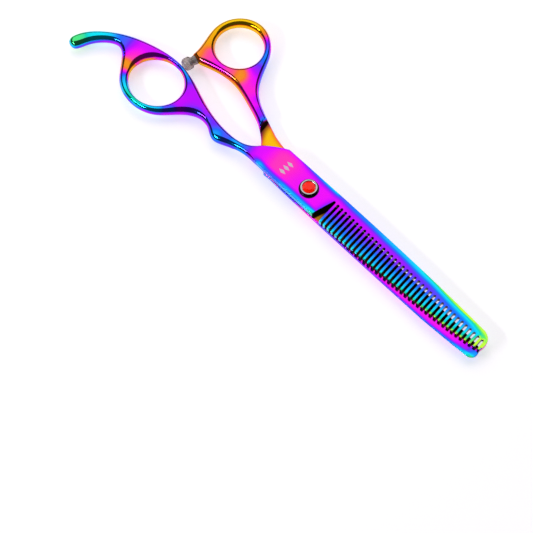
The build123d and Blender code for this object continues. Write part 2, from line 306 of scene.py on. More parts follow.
def inner_points(region, rim, step, reach, extra):
    """Rows of points that follow the rims, guide rows, and an even fill between them."""
    rows = []
    for line, corners in zip(region.loops, region.corners):
        outward = loop_normals(line, corners)[0]
        free = ~on_weld(line)
        for fraction in RIM_FRACTIONS:
            depth = (fraction * reach(line))[free]
            spots = line[free] - outward[free] * depth[:, None]
            good = region.contains(spots)
            good[good] = rim.exact(spots[good]) > 0.93 * depth[good]
            rows.append(spots[good])
    low = np.min(region.loops[0], axis=0)
    high = np.max(region.loops[0], axis=0)
    xs = np.arange(low[0], high[0], step)
    ys = np.arange(low[1], high[1], step * math.sqrt(3) / 2)
    grid = np.array([(x + (row % 2) * step / 2, y) for row, y in enumerate(ys) for x in xs])
    grid = grid[region.contains(grid)]
    grid = grid[rim.exact(grid) > reach(grid) + 0.45 * step]
    grid = grid[np.abs(grid[:, 0] - WELD_X) > 0.5 * step]
    for row in extra:
        spots = row[region.contains(row)]
        spots = spots[(rim.exact(spots) > 0.1) & (np.abs(spots[:, 0] - WELD_X) > 0.1)]
        if len(spots):
            gaps = np.min(np.sum((grid[:, None] - spots[None]) ** 2, axis=2), axis=1)
            grid = grid[gaps > (0.5 * step) ** 2]
            rows.append(spots)
    rows.append(grid)
    return np.concatenate(rows)


def triangulate(region, inner):
    """Triangles over the region, on the loops' points followed by the inner ones."""
    points = np.concatenate(region.loops + [inner])
    edges = []
    base = 0
    for line in region.loops:
        count = len(line)
        edges.extend((base + index, base + (index + 1) % count) for index in range(count))
        base += count
    corners = [Vector(point) for point in points]
    verts, _, faces, origins, _, _ = delaunay_2d_cdt(corners, edges, [], 0, 1e-6)
    first = [source[0] if source else -1 for source in origins]
    where = np.array([(vert.x, vert.y) for vert in verts])
    triangles = np.array([face for face in faces if len(face) == 3])
    keep = region.contains(where[triangles].mean(axis=1))
    triangles = triangles[keep]
    named = np.array(first)[triangles]
    named = named[(named >= 0).all(axis=1)]
    corner = points[named]
    side_a = corner[:, 1] - corner[:, 0]
    side_b = corner[:, 2] - corner[:, 0]
    signed = side_a[:, 0] * side_b[:, 1] - side_a[:, 1] * side_b[:, 0]
    named = named[np.abs(signed) > 1e-7]
    signed = signed[np.abs(signed) > 1e-7]
    named[signed < 0] = named[signed < 0][:, ::-1]
    return points, named


def surface_normals(surface, points, field, sign):
    """Unit normals of a height surface, from its slope."""
    reach = 0.01
    slope = []
    for axis in (0, 1):
        offset = np.zeros(2)
        offset[axis] = reach
        change = reach * field[:, 1 + axis]
        ahead = surface(points + offset, field[:, 0] + change)
        behind = surface(points - offset, field[:, 0] - change)
        slope.append((ahead - behind) / (2 * reach))
    normal = np.stack([-slope[0], -slope[1], np.ones(len(points))], axis=1) * sign
    return normal / np.linalg.norm(normal, axis=1)[:, None]


def slab(name, region, rim, half, step, extra=()):
    """A closed mesh between a half's two height surfaces over a region."""
    points, triangles = triangulate(region, inner_points(region, rim, step, half.reach, extra))
    rim_count = sum(len(line) for line in region.loops)
    field = rim.smooth(points)
    edge = ~on_weld(points[:rim_count])
    outward = []
    walls = []
    base = 0
    for line, corners in zip(region.loops, region.corners):
        mean, arriving, leaving = loop_normals(line, corners)
        weld = on_weld(line)
        weld_side = 1.0 if line[:, 0].mean() < WELD_X else -1.0
        for index in range(len(line)):
            after = (index + 1) % len(line)
            ends = (leaving[index], arriving[after])
            if weld[index] and weld[after]:
                ends = ((weld_side, 0.0), (weld_side, 0.0))
            walls.append((base + index, base + after, ends))
        weld_ends = weld & ~(np.roll(weld, 1) & np.roll(weld, -1))
        edge[base:base + len(line)] |= weld_ends
        outward.append(mean)
        base += len(line)
    outward = np.column_stack([np.concatenate(outward), np.zeros(rim_count)])
    field[:rim_count][edge] = (0.0, 0.0, 0.0)
    heights = []
    normals = []
    for surface, sign in ((half.top, 1.0), (half.bottom, -1.0)):
        heights.append(surface(points, field[:, 0]))
        directions = surface_normals(surface, points, field, sign)
        directions[:rim_count][edge] = outward[edge]
        normals.append(directions)
    shared = np.zeros(len(points), bool)
    shared[:rim_count] = (heights[0] - heights[1])[:rim_count] < 0.03
    heights[0][shared] = 0.5 * (heights[0] + heights[1])[shared]
    low_index = np.where(shared, np.arange(len(points)), len(points) + np.cumsum(~shared) - 1)
    vertices = np.concatenate([
        np.column_stack([points, heights[0]]), np.column_stack([points, heights[1]])[~shared]])
    faces = [tuple(face) for face in triangles.tolist()]
    faces += [(c, b, a) for a, b, c in low_index[triangles].tolist()]
    corner_normals = [normals[0][triangles].reshape(-1, 3), normals[1][triangles[:, ::-1]].reshape(-1, 3)]
    wall_normals = []
    for first, second, (normal_first, normal_second) in walls:
        ring = {}
        for index, normal in ((first, normal_first), (int(low_index[first]), normal_first),
                              (int(low_index[second]), normal_second), (second, normal_second)):
            ring.setdefault(index, (normal[0], normal[1], 0.0))
        if len(ring) > 2:
            faces.append(tuple(ring))
            wall_normals.extend(ring.values())
    corner_normals.append(np.array(wall_normals).reshape(-1, 3))
    mesh = bpy.data.meshes.new(name)
    mesh.from_pydata((vertices * MM).tolist(), [], faces)
    mesh.polygons.foreach_set("use_smooth", np.ones(len(mesh.polygons), bool))
    mesh.normals_split_custom_set(np.concatenate(corner_normals).tolist())
    directions = np.concatenate([normals[0], normals[1][~shared]])
    rims = np.zeros(len(points), bool)
    rims[:rim_count] = edge
    on_rim = np.concatenate([rims, rims[~shared]])
    depths = np.concatenate([field[:, 0], field[~shared, 0]])
    film, shade = half.finish(vertices, directions, depths, on_rim)
    for label, values in (("film", film), ("shade", shade)):
        attribute = mesh.attributes.new(label, "FLOAT", "POINT")
        attribute.data.foreach_set("value", values.astype(np.float32))
    mesh.update()
    return new_object(name, mesh)


# ---- The shapes of the two halves --------------------------------------------------
SHOULDER = [(-28.2, -2.4), (-28.9, 0.6), (-30.0, 3.6), (-31.3, 7.0), (-31.6, 12.0)]
SCOOP = 2.2              # how far the shoulder's hollow reaches into the handle
SCOOP_POWER = 1.4        # how much the hollow steepens towards the handle
TOOTH_LINE = [(-20.0, -6.5), (10.0, -6.6), (32.0, -5.9), (60.0, -3.9), (90.6, -1.0)]
TOOTH_BEVEL = (2.2, 0.3)  # width and depth, as for the other bevels
SPINE_LINE = [(-18.0, 6.5), (20.0, 7.0), (60.0, 7.0), (86.6, 6.25)]
SPINE_BEVEL = (1.5, 0.25)
CUTTING_BEVEL = (3.4, 1.1)
BACK_BEVEL = (2.4, 1.1)
RECESS_R = 5.06          # recess of the blade washer
COUNTERBORE_R = 5.3      # space for the spring washers in the straight blade's back
CUTTING_LINE = [(12.0, 3.3), (50.0, 2.6), (88.0, 0.8)]
BACK_LINE = [(-18.0, -6.5), (12.0, -7.1), (40.0, -7.2), (70.0, -6.4), (90.0, -4.4)]


def shoulder_line(side, count=60):
    """Even points on the shoulder's curve, for side 1 as on the thumb half."""
    control = np.array(SHOULDER) * (1.0, side)
    t = np.linspace(0.0, 1.0, len(control))
    fine = np.linspace(0.0, 1.0, count)
    fit = [np.polyfit(t, control[:, axis], 4) for axis in (0, 1)]
    return np.stack([np.polyval(line, fine) for line in fit], axis=1)


def shoulder_depth(points, side):
    """How far points lie on the handle's side of the shoulder's curve. Negative is beyond it."""
    curve = shoulder_line(side)
    height = points[:, 1] * side
    order = curve[:, 1] * side
    edge_x = np.interp(height, order, curve[:, 0])
    slope = np.interp(height, order, np.gradient(curve[:, 0], order))
    return (edge_x - points[:, 0]) / np.sqrt(1.0 + slope ** 2)


def scoop_profile(depth):
    """0 on the flat and 1 on the handle, through a hollow that steepens towards the handle."""
    return np.clip(depth / SCOOP, 0.0, 1.0) ** SCOOP_POWER


def shoulder_rows(side):
    """Rows of points along the shoulder, close together where it is steep."""
    curve = shoulder_line(side)
    rows = []
    for share in (0.0, 0.08, 0.2, 0.35, 0.5, 0.65, 0.8, 0.92, 0.99, 1.01, 1.1):
        rows.append(curve - np.array([share * SCOOP, 0.0]))
    return rows


def taper(x):
    """How much thinner a blade is than at its root."""
    full = HALF_HEIGHT - TIP_THICK
    return full * np.clip((x - TAPER_START_X) / (TIP_X + 1.0 - TAPER_START_X), 0.0, 1.0)


def line_y(line, x):
    return np.interp(x, [point[0] for point in line], [point[1] for point in line])


def soft_ramp(value, width):
    """A bevel's fall: 0 inside the bevel's inner edge, growing to 1 at the rim."""
    t = 1.0 - value / width
    return 0.5 * (t + np.sqrt(t * t + 0.004))


def crown(depth):
    """A slight fullness of the forged faces."""
    return -0.22 * np.exp(-np.maximum(depth, 0.0) / 3.5)


class CombHalf:
    """Heights of the comb blade and the finger handle, which share one surface."""

    def plate(self, x):
        return smoothstep(-33.0, -19.0, x)

    def reach(self, points):
        return mix(HANDLE_ROUND, SLOT_ROUND, smoothstep(-33.0, -21.0, points[:, 0]))

    def top(self, points, depth):
        x, y = points[:, 0], points[:, 1]
        plate = self.plate(x)
        drop = mix(HALF_HEIGHT, SLOT_ROUND, plate)
        z = TOP - taper(x) - drop * (1.0 - rim_profile(depth / self.reach(points)))
        z += crown(depth) * (1.0 - plate)
        width, height = TOOTH_BEVEL
        z -= plate * height * soft_ramp(y - line_y(TOOTH_LINE, x), width) * (y < 0)
        width, height = SPINE_BEVEL
        fall = soft_ramp(line_y(SPINE_LINE, x) - y, width)
        z -= smoothstep(-24.0, -17.0, x) * height * fall * (y > 0)
        return np.maximum(z, self.bottom(points, depth) + 0.02)

    def bottom(self, points, depth):
        beyond = 1.0 - scoop_profile(shoulder_depth(points, -1))
        handle = BACK + HALF_HEIGHT * (1.0 - rim_profile(depth / HANDLE_ROUND)) - crown(depth)
        flat = UPPER_FLOOR + 0.05 * (1.0 - rim_profile(depth / SLOT_ROUND))
        return mix(handle, flat, beyond)

    def finish(self, vertices, normals, depths, on_rim):
        return comb_film(vertices, normals, depths), comb_shade(vertices, normals, on_rim)


class StraightHalf:
    """Heights of the straight blade and the thumb handle, which share one surface."""

    def plate(self, x):
        return smoothstep(-38.0, -22.0, x)

    def reach(self, points):
        return mix(HANDLE_ROUND, PLATE_ROUND, self.plate(points[:, 0]))

    def top(self, points, depth):
        beyond = 1.0 - scoop_profile(shoulder_depth(points, 1))
        handle = TOP - HALF_HEIGHT * (1.0 - rim_profile(depth / HANDLE_ROUND)) + crown(depth)
        flat = LOWER_CEILING - 0.12 * (1.0 - rim_profile(depth / 0.15))
        z = mix(handle, flat, beyond)
        radius = np.hypot(points[:, 0], points[:, 1])
        return np.where(radius < RECESS_R, np.minimum(z, LOWER_CEILING - 0.25), z)

    def bottom(self, points, depth):
        x, y = points[:, 0], points[:, 1]
        drop = mix(HALF_HEIGHT, PLATE_ROUND, self.plate(x))
        z = BACK + taper(x) + drop * (1.0 - rim_profile(depth / self.reach(points)))
        z -= crown(depth) * (1.0 - self.plate(x))
        width, height = CUTTING_BEVEL
        edge = np.clip(1.0 - (line_y(CUTTING_LINE, x) - y) / width, 0.0, 1.0)
        z += smoothstep(9.0, 13.0, x) * edge * height
        width, height = BACK_BEVEL
        spine = np.clip(1.0 - (y - line_y(BACK_LINE, x)) / width, 0.0, 1.0)
        z += smoothstep(-19.0, -14.0, x) * spine * height
        radius = np.hypot(x, y)
        z = np.where(radius < COUNTERBORE_R, np.maximum(z, BACK + 1.0), z)
        return np.minimum(z, LOWER_CEILING - 0.3)

    def finish(self, vertices, normals, depths, on_rim):
        return straight_film(vertices, normals, depths), straight_shade(vertices, normals)


# ---- Rainbow film ------------------------------------------------------------------
# A film value runs over the tempering colours: 0 gold, 0.1 orange, 0.25 rose, 0.4 magenta,
# 0.47 violet, 0.6 blue, 0.76 cyan, 0.88 green, 1 yellow.
COMB_FILM = [
    (-110, -19, 0.88, 3), (-105, -10.5, 0.76, 4.5), (-97, -5.5, 0.6, 4.5), (-90.5, -4, 0.43, 4),
    (-88.5, -8, 0.26, 2.5), (-88.2, -13.5, 0.1, 2.4), (-87.5, -19, 0.55, 3), (-82, -1, 0.44, 4),
    (-77, 2, 0.58, 3), (-68, 0.5, 0.66, 3.5), (-84, -20, 0.72, 3), (-76, -21.5, 0.84, 4.5),
    (-67, -19, 0.72, 3.5), (-61, -10, 0.45, 5), (-63, -3, 0.47, 4), (-61, -14.2, 0.7, 1.8),
    (-53.5, -8, 0.68, 1.6), (-48.5, -8.6, 0.68, 1.6), (-54, -5, 0.48, 4), (-56, -10, 0.6, 2.5),
    (-46, -6.5, 0.53, 4), (-42, -9.5, 0.7, 2.5), (-38, -6, 0.57, 3), (-33, -6.6, 0.7, 3),
    (-30, -4, 0.58, 3), (-24, -2, 0.42, 4), (-15, 0.5, 0.29, 5), (0, 0, 0.38, 7), (8, 4, 0.39, 5),
    (22, 4.5, 0.45, 8), (40, 4.5, 0.49, 8), (58, 4.5, 0.54, 9), (74, 4, 0.62, 9), (88, 3, 0.74, 5)]
COMB_WALL_FILM = [
    (-110.5, -22, 0.68, 1.6), (-106.5, -18, 0.52, 3), (-102, -12, 0.44, 3), (-96, -9.2, 0.38, 3),
    (-91.5, -13, 0.24, 2.5), (-90, -16.5, 0.06, 2), (-87, -19, 0.5, 2), (-107, -10, 0.8, 3),
    (-98, -3.9, 0.64, 4), (-86, 1, 0.52, 4), (-75, 3.2, 0.62, 3), (-82, -21.5, 0.66, 3),
    (-75, -22.5, 0.6, 3), (-67, -20, 0.5, 3), (-60, -13.5, 0.44, 3), (-53, -8.5, 0.46, 3),
    (-47, -8.8, 0.42, 2.5), (-42, -10.8, 0.6, 2.5), (-36, -8.6, 0.58, 2.5), (-30, -7, 0.66, 3),
    (-66, 1.6, 0.24, 2.5), (-57, -1.6, 0.14, 3), (-46, -4.8, 0.14, 3), (-36, -4.5, 0.22, 3),
    (-84.5, -4, 0.02, 2), (-78, 0.3, 0.02, 2.5), (-70, 0.2, 0.1, 2), (-65, -4.5, 0.18, 2),
    (-64, -9, 0.24, 2), (-69, -18.2, 0.1, 2), (-77, -20, 0.04, 2), (-85, -15, 0.02, 2)]
THUMB_FILM = [
    (-72.5, 11, 0.12, 2.5), (-69, 12.5, 0.28, 3), (-75.5, 17, 0.09, 3.5), (-76, 24, 0.05, 3),
    (-74, 31, 0.01, 4), (-68, 36, 0.02, 4), (-61, 36, 0.12, 2.5), (-57, 34, 0.54, 3), (-53, 28, 0.63, 4),
    (-51.5, 21.5, 0.5, 3), (-63.5, 13.2, 0.38, 2.5), (-58, 14.5, 0.26, 2.5), (-53.5, 15.8, 0.11, 3),
    (-48.5, 17.5, 0.4, 2.5), (-48, 13, 0.32, 3), (-42, 10.5, 0.38, 3.5), (-38, 8.5, 0.46, 3),
    (-34.5, 8, 0.58, 2), (-32.6, 8.4, 0.76, 1.6), (-37.4, 10.6, 0.58, 1.4), (-41.6, 13, 0.54, 1.4),
    (-18, 6, 0.1, 4), (-18, -6.5, 0.62, 4), (-6, -6.8, 0.58, 4), (0, 2, 0.3, 5), (12, -6.5, 0.36, 5),
    (40, -6, 0.36, 12), (74, -4.5, 0.38, 10), (87, -4, 0.5, 4), (89.5, -3.5, 0.8, 2)]
THUMB_WALL_FILM = [
    (-70, 8, 0.02, 2), (-64, 10.3, 0.04, 3), (-57, 12, 0.14, 2.5), (-51, 12, 0.05, 2.5),
    (-45, 10, 0.08, 2.5), (-39, 7.4, 0.16, 2.5), (-33, 4.6, 0.26, 2.5), (-27, 1, 0.12, 3),
    (-75, 14, 0.22, 2.5), (-77, 22, 0.08, 3), (-75.5, 30, 0.02, 3), (-68, 37, 0.04, 3), (-59, 36, 0.4, 3),
    (-53, 30, 0.58, 3), (-49, 23, 0.6, 3), (-46, 18, 0.64, 3), (-40, 13.5, 0.56, 3), (-33, 10, 0.66, 2.5),
    (-27, 8, 0.26, 3), (-71, 31.5, 0.02, 3), (-64, 34.5, 0.03, 3), (-57, 31, 0.06, 3),
    (-54.6, 24, 0.1, 2), (-74, 24, 0.1, 2), (-60, 15.5, 0.1, 2), (-69, 16, 0.1, 2)]


def film_field(points, spots):
    """Film thickness over the plan, blended between the listed spots."""
    total = np.full(len(points), 1e-12)
    value = total * 0.4
    for x, y, film, spread in spots:
        weight = np.exp(-((points[:, 0] - x) ** 2 + (points[:, 1] - y) ** 2) / (1.1 * spread ** 2))
        weight += 1e-6 / (1.0 + (points[:, 0] - x) ** 2 + (points[:, 1] - y) ** 2)
        total += weight
        value += weight * film
    return value / total


def walls(normals):
    """How upright the surface is: 0 on level faces and 1 on the rims' walls."""
    return smoothstep(0.25, 0.85, 1.0 - np.abs(normals[:, 2]))


def comb_film(vertices, normals, depths):
    x, y = vertices[:, 0], vertices[:, 1]
    plan = vertices[:, :2]
    handle = 1.0 - smoothstep(-32.0, -22.0, x)
    value = film_field(plan, COMB_FILM)
    value = mix(value, film_field(plan, COMB_WALL_FILM), handle * walls(normals))
    blade = smoothstep(8.0, 12.0, x)
    tooth = np.clip((3.0 - y) / (3.0 - line_y(TOOTH_LINE, x)), 0.0, 1.0)
    value += blade * (0.24 * tooth + 0.10 * smoothstep(0.85, 1.0, tooth))
    from_spine = line_y(SPINE_LINE, x) - y
    band = mix(0.18, 0.24, smoothstep(20.0, 70.0, x)) * smoothstep(3.2, 0.4, from_spine)
    band += 0.22 * smoothstep(45.0, 75.0, x) * smoothstep(1.1, 0.2, from_spine)
    value += smoothstep(-16.0, 10.0, x) * band
    plate = smoothstep(-26.0, -20.0, x) * (1.0 - blade)
    value += plate * 0.20 * np.exp(-np.maximum(depths, 0.0) / 0.8) * (y > -4.0)
    value += plate * 0.30 * smoothstep(-3.6, -5.8, y)
    value += 0.16 * smoothstep(3.0, 8.0, x) * (1.0 - blade) * smoothstep(-4.6, -6.4, y)
    end = smoothstep(85.0, 88.0, x) * np.exp(-np.maximum(depths, 0.0) / 0.7) * (from_spine < 8.5)
    value = mix(value, mix(0.99, 0.28, walls(normals)), np.clip(1.6 * end, 0.0, 1.0))
    return np.clip(value, 0.0, 1.0)


def comb_shade(vertices, normals, on_rim):
    """Painted shade: how dark the walls of the slots are painted, darkest towards the roots, standing in
    for the shadow deep inside the slots.
    """
    x, y = vertices[:, 0], vertices[:, 1]
    inside = (x > 8.2) & (y < line_y(SPINE_LINE, x) - 2.2) & on_rim & (x < TIP_X - 1.5)
    outer = y < line_y(TOOTH_LINE, x) + 0.35
    return np.where(inside & ~outer, mix(0.93, 1.0, smoothstep(-4.0, 0.5, y)), 0.0)


def under_teeth_shade_mask(vertices, normals):
    """Where shade is painted on the straight blade: the part of its inner face that lies under the comb's
    teeth, standing in for the shadow in the slots.
    """
    x, y = vertices[:, 0], vertices[:, 1]
    over_teeth = smoothstep(-0.1, 0.7, y - line_y(TOOTH_LINE, x))
    return (normals[:, 2] > 0.5) * smoothstep(7.0, 9.0, x) * over_teeth


def straight_shade(vertices, normals):
    """Painted shade: how dark the inner face under the teeth and the shoulder's hollow are painted,
    standing in for their shadows and dark reflections.
    """
    under_teeth_shade = under_teeth_shade_mask(vertices, normals) * mix(0.62, 0.97, smoothstep(-5.5, -1.5, vertices[:, 1]))
    # Painted shade in the shoulder's hollow: a contact shadow and dark reflection painted in, fading out
    # onto the flat beyond it.
    depth = shoulder_depth(vertices[:, :2], 1)
    hollow = smoothstep(-2.6, 0.8, depth) * smoothstep(1.9, 1.4, depth)
    hollow *= (normals[:, 2] > 0.2) * (vertices[:, 0] < -10.0)
    return np.maximum(under_teeth_shade, 0.9 * hollow)


def straight_film(vertices, normals, depths):
    x, y = vertices[:, 0], vertices[:, 1]
    plan = vertices[:, :2]
    handle = 1.0 - smoothstep(-24.0, -19.0, x)
    value = film_field(plan, THUMB_FILM)
    depth = shoulder_depth(plan, 1)
    lap = smoothstep(1.9, 1.4, depth) * (x < -10.0) * (normals[:, 2] > 0.2)
    flat = 0.02 + 0.12 * smoothstep(-2.4, 1.0, depth) + 0.26 * np.exp(-np.maximum(depths, 0.0) / 0.7)
    value = mix(value, flat, lap)
    value = mix(value, film_field(plan, THUMB_WALL_FILM), handle * walls(normals) * (1.0 - lap))
    blade = smoothstep(8.0, 14.0, x)
    value += blade * 0.24 * smoothstep(1.4, 0.0, y - line_y(BACK_LINE, x))
    # Under the teeth the film is set to gold, so that with the painted shade there it reads as a dark
    # brown shadow.
    value = mix(value, 0.06, under_teeth_shade_mask(vertices, normals))
    return np.clip(value, 0.0, 1.0)


# ---- Materials ---------------------------------------------------------------------
def new_material(name):
    material = bpy.data.materials.new(name)
    material.use_nodes = True
    tree = material.node_tree
    shader = tree.nodes["Principled BSDF"]
    return material, tree, shader


def add(tree, kind, **values):
    node = tree.nodes.new(kind)
    for key, value in values.items():
        setattr(node, key, value)
    return node


def link(tree, source, target):
    tree.links.new(source, target)


def noise(tree, scale, detail, stretch=(1.0, 1.0, 1.0)):
    """Noise in the object's own coordinates, in features per metre."""
    place = add(tree, "ShaderNodeTexCoord")
    mapping = add(tree, "ShaderNodeMapping")
    mapping.inputs["Scale"].default_value = stretch
    texture = add(tree, "ShaderNodeTexNoise")
    texture.inputs["Scale"].default_value = scale
    texture.inputs["Detail"].default_value = detail
    link(tree, place.outputs["Object"], mapping.inputs["Vector"])
    link(tree, mapping.outputs["Vector"], texture.inputs["Vector"])
    return texture.outputs["Fac"]


def math_node(tree, operation, first, second=None):
    node = add(tree, "ShaderNodeMath", operation=operation)
    for socket, value in zip(node.inputs, (first, second)):
        if value is None:
            continue
        if isinstance(value, (int, float)):
            socket.default_value = value
        else:
            link(tree, value, socket)
    return node.outputs[0]


def ramp(tree, factor, stops):
    node = add(tree, "ShaderNodeValToRGB")
    elements = node.color_ramp.elements
    while len(elements) > 1:
        elements.remove(elements[-1])
    elements[0].position = stops[0][0]
    elements[0].color = (*stops[0][1], 1.0)
    for position, colour in stops[1:]:
        element = elements.new(position)
        element.color = (*colour, 1.0)
    link(tree, factor, node.inputs["Fac"])
    return node.outputs["Color"]


def bump(tree, shader, height, strength, distance):
    node = add(tree, "ShaderNodeBump")
    node.inputs["Strength"].default_value = strength
    node.inputs["Distance"].default_value = distance
    link(tree, height, node.inputs["Height"])
    link(tree, node.outputs["Normal"], shader.inputs["Normal"])


def roughen(tree, shader, value, low, high):
    node = add(tree, "ShaderNodeMapRange")
    node.inputs["To Min"].default_value = low
    node.inputs["To Max"].default_value = high
    link(tree, value, node.inputs["Value"])
    link(tree, node.outputs["Result"], shader.inputs["Roughness"])


def paint(tree, shader, factor, stops):
    link(tree, ramp(tree, factor, stops), shader.inputs["Base Color"])


def object_place(tree):
    """X, Y and Z in the object's own coordinates."""
    place = add(tree, "ShaderNodeTexCoord")
    split = add(tree, "ShaderNodeSeparateXYZ")
    link(tree, place.outputs["Object"], split.inputs["Vector"])
    return split.outputs


MARK_X = -12.3           # middle of the etched mark on the plate
MARK_LONG = 1.7          # half length of one diamond, along the blade
MARK_WIDE = 0.75         # half width of one diamond
MARK_PITCH = 2.1
FILM_COLOURS = [
    (0, (0.89, 0.55, 0.003)), (0.1, (0.8, 0.31, 0.002)), (0.18, (0.85, 0.15, 0.03)),
    (0.25, (0.9, 0.06, 0.28)), (0.32, (0.9, 0.015, 0.58)), (0.4, (0.78, 0.003, 0.86)),
    (0.47, (0.46, 0.002, 0.95)), (0.54, (0.14, 0.02, 0.93)), (0.61, (0.01, 0.13, 0.93)),
    (0.68, (0.006, 0.4, 0.93)), (0.76, (0.003, 0.7, 0.88)), (0.84, (0.003, 0.6, 0.42)),
    (0.91, (0.1, 0.8, 0.12)), (1, (0.6, 0.95, 0.03))]


def etched_mark(tree):
    """1 inside a row of three small etched diamonds on the plate's top face, and 0 elsewhere."""
    at = object_place(tree)
    along = math_node(tree, "ADD", at["X"], -MARK_X * MM)
    along = math_node(tree, "DIVIDE", math_node(tree, "ABSOLUTE", along), MARK_LONG * MM)
    row = math_node(tree, "PINGPONG", at["Y"], MARK_PITCH / 2 * MM)
    across = math_node(tree, "DIVIDE", row, MARK_WIDE * MM)
    diamond = math_node(tree, "LESS_THAN", math_node(tree, "ADD", along, across), 1.0)
    offset = math_node(tree, "ABSOLUTE", at["Y"])
    near = math_node(tree, "LESS_THAN", offset, 1.5 * MARK_PITCH * MM)
    diamond = math_node(tree, "MULTIPLY", diamond, near)
    high = math_node(tree, "GREATER_THAN", at["Z"], (TOP - 0.25) * MM)
    return math_node(tree, "MULTIPLY", diamond, high)


def rainbow_steel():
    material, tree, shader = new_material("rainbow_steel")
    film = add(tree, "ShaderNodeAttribute", attribute_name="film").outputs["Fac"]
    cloud = noise(tree, 90.0, 2.0)
    drift = math_node(tree, "MULTIPLY", math_node(tree, "SUBTRACT", cloud, 0.5), 0.05)
    colour = ramp(tree, math_node(tree, "ADD", film, drift), FILM_COLOURS)
    # The shade attribute mixes the film colour towards near-black: painted shade in the slots, under the
    # teeth and in the shoulder's hollow.
    shade = add(tree, "ShaderNodeAttribute", attribute_name="shade").outputs["Fac"]
    painted_shade_mix = add(tree, "ShaderNodeMix", data_type="RGBA")
    link(tree, shade, painted_shade_mix.inputs[0])
    link(tree, colour, painted_shade_mix.inputs[6])
    painted_shade_mix.inputs[7].default_value = (0.010, 0.003, 0.003, 1.0)
    etched = add(tree, "ShaderNodeMix", data_type="RGBA")
    link(tree, etched_mark(tree), etched.inputs[0])
    link(tree, painted_shade_mix.outputs[2], etched.inputs[6])
    etched.inputs[7].default_value = (0.56, 0.40, 0.50, 1.0)
    link(tree, etched.outputs[2], shader.inputs["Base Color"])
    shader.inputs["Metallic"].default_value = 1.0
    polish = noise(tree, 900.0, 3.0, (0.25, 1.0, 1.0))
    roughen(tree, shader, polish, 0.08, 0.16)
    shader.inputs["Coat Weight"].default_value = 0.08
    shader.inputs["Coat Roughness"].default_value = 0.06
    bump(tree, shader, polish, 0.04, 0.00002)
    return material


COLOUR_SPREAD = 0.06     # how far a plain metal's colour strays to either side


def plain_metal(name, colour, roughness, grain=900.0, stretch=(1.0, 1.0, 1.0)):
    material, tree, shader = new_material(name)
    streak = noise(tree, grain, 4.0, stretch)
    low = tuple(channel * (1.0 - COLOUR_SPREAD) for channel in colour)
    high = tuple(min(1.0, channel * (1.0 + COLOUR_SPREAD)) for channel in colour)
    paint(tree, shader, streak, [(0.3, low), (0.7, high)])
    shader.inputs["Metallic"].default_value = 1.0
    roughen(tree, shader, streak, roughness * 0.75, roughness * 1.35)
    bump(tree, shader, streak, 0.08, 0.00002)
    return material


def plastic(name, colour, roughness):
    material, tree, shader = new_material(name)
    grain = noise(tree, 1500.0, 3.0)
    low = tuple(channel * 0.85 for channel in colour)
    paint(tree, shader, grain, [(0.3, low), (0.7, colour)])
    roughen(tree, shader, grain, roughness * 0.85, roughness * 1.15)
    bump(tree, shader, grain, 0.1, 0.00003)
    return material


BEZEL_SPAN = 4.0         # the radius at the end of the bezel's colour ramp


def bezel_chrome():
    """Chrome whose outer wall is painted near-black by radius, a painted dark reflection of the
    surroundings.
    """
    material, tree, shader = new_material("bezel_chrome")
    at = object_place(tree)
    square_x = math_node(tree, "MULTIPLY", at["X"], at["X"])
    square_y = math_node(tree, "MULTIPLY", at["Y"], at["Y"])
    radius = math_node(tree, "SQRT", math_node(tree, "ADD", square_x, square_y))
    cloud = noise(tree, 900.0, 3.0)
    share = math_node(tree, "MULTIPLY", radius, 1.0 / (BEZEL_SPAN * MM))
    edge = math_node(tree, "ADD", share, math_node(tree, "MULTIPLY", cloud, 0.02))
    # Painted dark reflection: grey chrome out to a radius of 3.2 mm, near-black beyond 3.3 mm.
    stops = [(0.80, (0.50, 0.50, 0.48)), (0.825, (0.02, 0.018, 0.018))]
    paint(tree, shader, edge, stops)
    shader.inputs["Metallic"].default_value = 1.0
    roughen(tree, shader, cloud, 0.08, 0.16)
    bump(tree, shader, cloud, 0.06, 0.00002)
    return material


def red_stone():
    material, tree, shader = new_material("red_stone")
    cloud = noise(tree, 500.0, 2.0)
    paint(tree, shader, cloud, [(0.3, (0.90, 0.0, 0.0)), (0.7, (1.0, 0.025, 0.002))])
    shader.inputs["Roughness"].default_value = 0.05
    shader.inputs["Specular IOR Level"].default_value = 0.3
    # Painted light: the stone glows a little, though it is no lamp.
    shader.inputs["Emission Color"].default_value = (1.0, 0.01, 0.0, 1.0)
    shader.inputs["Emission Strength"].default_value = 0.36
    bump(tree, shader, cloud, 0.05, 0.00002)
    return material


def bumper_polymer():
    material, tree, shader = new_material("bumper_polymer")
    cloud = noise(tree, 400.0, 3.0)
    paint(tree, shader, cloud, [(0.3, (0.42, 0.34, 0.32)), (0.7, (0.66, 0.58, 0.55))])
    roughen(tree, shader, cloud, 0.10, 0.22)
    shader.inputs["IOR"].default_value = 1.45
    shader.inputs["Transmission Weight"].default_value = 0.65
    bump(tree, shader, cloud, 0.10, 0.00006)
    return material


# ---- Turned and faceted pieces -----------------------------------------------------
def circle(bm, radius, height, count, turn=0.0):
    """Points evenly round the axis, the first one turned by a share of a step."""
    angles = [math.tau * (index + turn) / count for index in range(count)]
    return [bm.verts.new((radius * math.cos(angle), radius * math.sin(angle), height)) for angle in angles]


